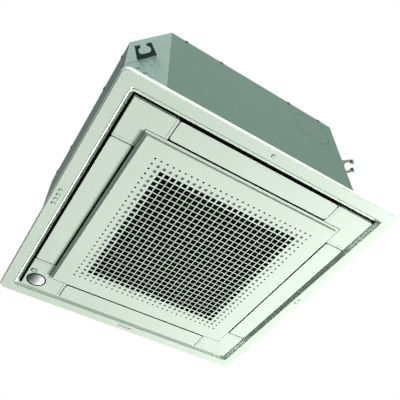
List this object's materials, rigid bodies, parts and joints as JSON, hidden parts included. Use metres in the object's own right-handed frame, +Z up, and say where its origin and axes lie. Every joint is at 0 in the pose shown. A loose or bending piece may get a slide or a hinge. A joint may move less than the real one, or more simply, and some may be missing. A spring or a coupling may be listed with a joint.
{
  "type": "ceiling cassette air conditioner",
  "caption": "Square ceiling cassette air conditioner with a flat panel, a hinged intake grille, outlet flaps along its sides and rod hangers.",
  "frame": {"origin": "centre of the four hanger slots, on the underside of the hanger plates", "axes": "+Z up to the ceiling slab, +X to the pipe side, -Y to the side the grille is hinged on"},
  "size_m": [0.627, 0.6255, 0.3103],
  "materials": {
    "panel_plastic": "satin",
    "black_trim": "glossy",
    "sensor_window": "glossy",
    "receiver_window": "glossy",
    "seal": "matte",
    "case_steel": "matte",
    "zinc": "satin",
    "steel": "satin",
    "foam": "matte",
    "white_plastic": "satin",
    "dark_plastic": "matte",
    "grey_plastic": "satin",
    "fin_aluminium": "satin",
    "copper": "satin",
    "brass": "satin",
    "board": "satin"
  },
  "bodies": {
    "cassette": {"panel_frame": "panel_plastic", "panel_seals": "seal", "panel_screws": "steel", "flap_bushes": "white_plastic", "flap_motors": "zinc", "corner_cover_front_left": "panel_plastic", "corner_cover_front_right": "panel_plastic", "corner_cover_back_right": "panel_plastic", "sensor_cover": "panel_plastic", "sensor_ring": "black_trim", "sensor_dome": "sensor_window", "receiver_lens": "receiver_window", "side_plate_front": "case_steel", "side_plate_right": "case_steel", "side_plate_back": "case_steel", "side_plate_left": "case_steel", "corner_plates": "zinc", "top_plate": "zinc", "case_screws": "steel", "hanger_brackets": "zinc", "wall_insulation": "foam", "top_insulation": "foam", "drain_pan": "foam", "bell_mouth": "white_plastic", "fan_motor": "zinc", "motor_bracket": "steel", "motor_mounts": "seal", "coil_fins": "fin_aluminium", "coil_end_plates": "zinc", "return_bends": "copper", "gas_pipe": "copper", "liquid_pipe": "copper", "gas_union": "brass", "liquid_union": "brass", "drain_pump": "white_plastic", "pump_bracket": "steel", "float_switch": "white_plastic", "drain_hose": "grey_plastic", "drain_socket": "white_plastic", "electric_box": "steel", "box_cover": "steel", "control_board": "board", "cable_bush": "seal", "air_thermistor": "seal"},
    "flap_front": {"flap_front": "panel_plastic"},
    "flap_right": {"flap_right": "panel_plastic"},
    "flap_back": {"flap_back": "panel_plastic"},
    "flap_left": {"flap_left": "panel_plastic"},
    "grille": {"intake_grille": "panel_plastic", "grille_hinge_pins": "steel", "filter_frame": "grey_plastic", "filter_mesh": "dark_plastic"},
    "latch_left": {"latch_left": "white_plastic"},
    "latch_right": {"latch_right": "white_plastic"},
    "fan": {"fan_wheel": "grey_plastic", "fan_shroud": "grey_plastic", "fan_shaft": "steel", "fan_nut": "steel"},
    "impeller": {"pump_impeller": "white_plastic"},
    "float": {"float": "white_plastic"}
  },
  "joints": [
    {"name": "flap_front_hinge", "type": "hinge", "parent": "cassette", "child": "flap_front", "pos_m": [0, -0.2338, -0.194], "axis": [1, 0, 0], "range_deg": [0, 60]},
    {"name": "flap_right_hinge", "type": "hinge", "parent": "cassette", "child": "flap_right", "pos_m": [0.2338, 0, -0.194], "axis": [0, 1, 0], "range_deg": [0, 60]},
    {"name": "flap_back_hinge", "type": "hinge", "parent": "cassette", "child": "flap_back", "pos_m": [0, 0.2338, -0.194], "axis": [-1, 0, 0], "range_deg": [0, 60]},
    {"name": "flap_left_hinge", "type": "hinge", "parent": "cassette", "child": "flap_left", "pos_m": [-0.2338, 0, -0.194], "axis": [0, -1, 0], "range_deg": [0, 60]},
    {"name": "grille_hinge", "type": "hinge", "parent": "cassette", "child": "grille", "pos_m": [0, -0.214, -0.196], "axis": [-1, 0, 0], "range_deg": [0, 90]},
    {"name": "latch_left_slide", "type": "slide", "parent": "grille", "child": "latch_left", "axis": [-1, 0, 0], "range_m": [0, 0.012]},
    {"name": "latch_right_slide", "type": "slide", "parent": "grille", "child": "latch_right", "axis": [1, 0, 0], "range_m": [0, 0.012]},
    {"name": "fan_spin", "type": "hinge", "parent": "cassette", "child": "fan", "pos_m": [0, 0, 0], "axis": [0, 0, 1], "continuous": true},
    {"name": "impeller_spin", "type": "hinge", "parent": "cassette", "child": "impeller", "pos_m": [0.205, 0.205, -0.1], "axis": [0, 0, 1], "continuous": true},
    {"name": "float_slide", "type": "slide", "parent": "cassette", "child": "float", "axis": [0, 0, 1], "range_m": [0, 0.012]}
  ]
}
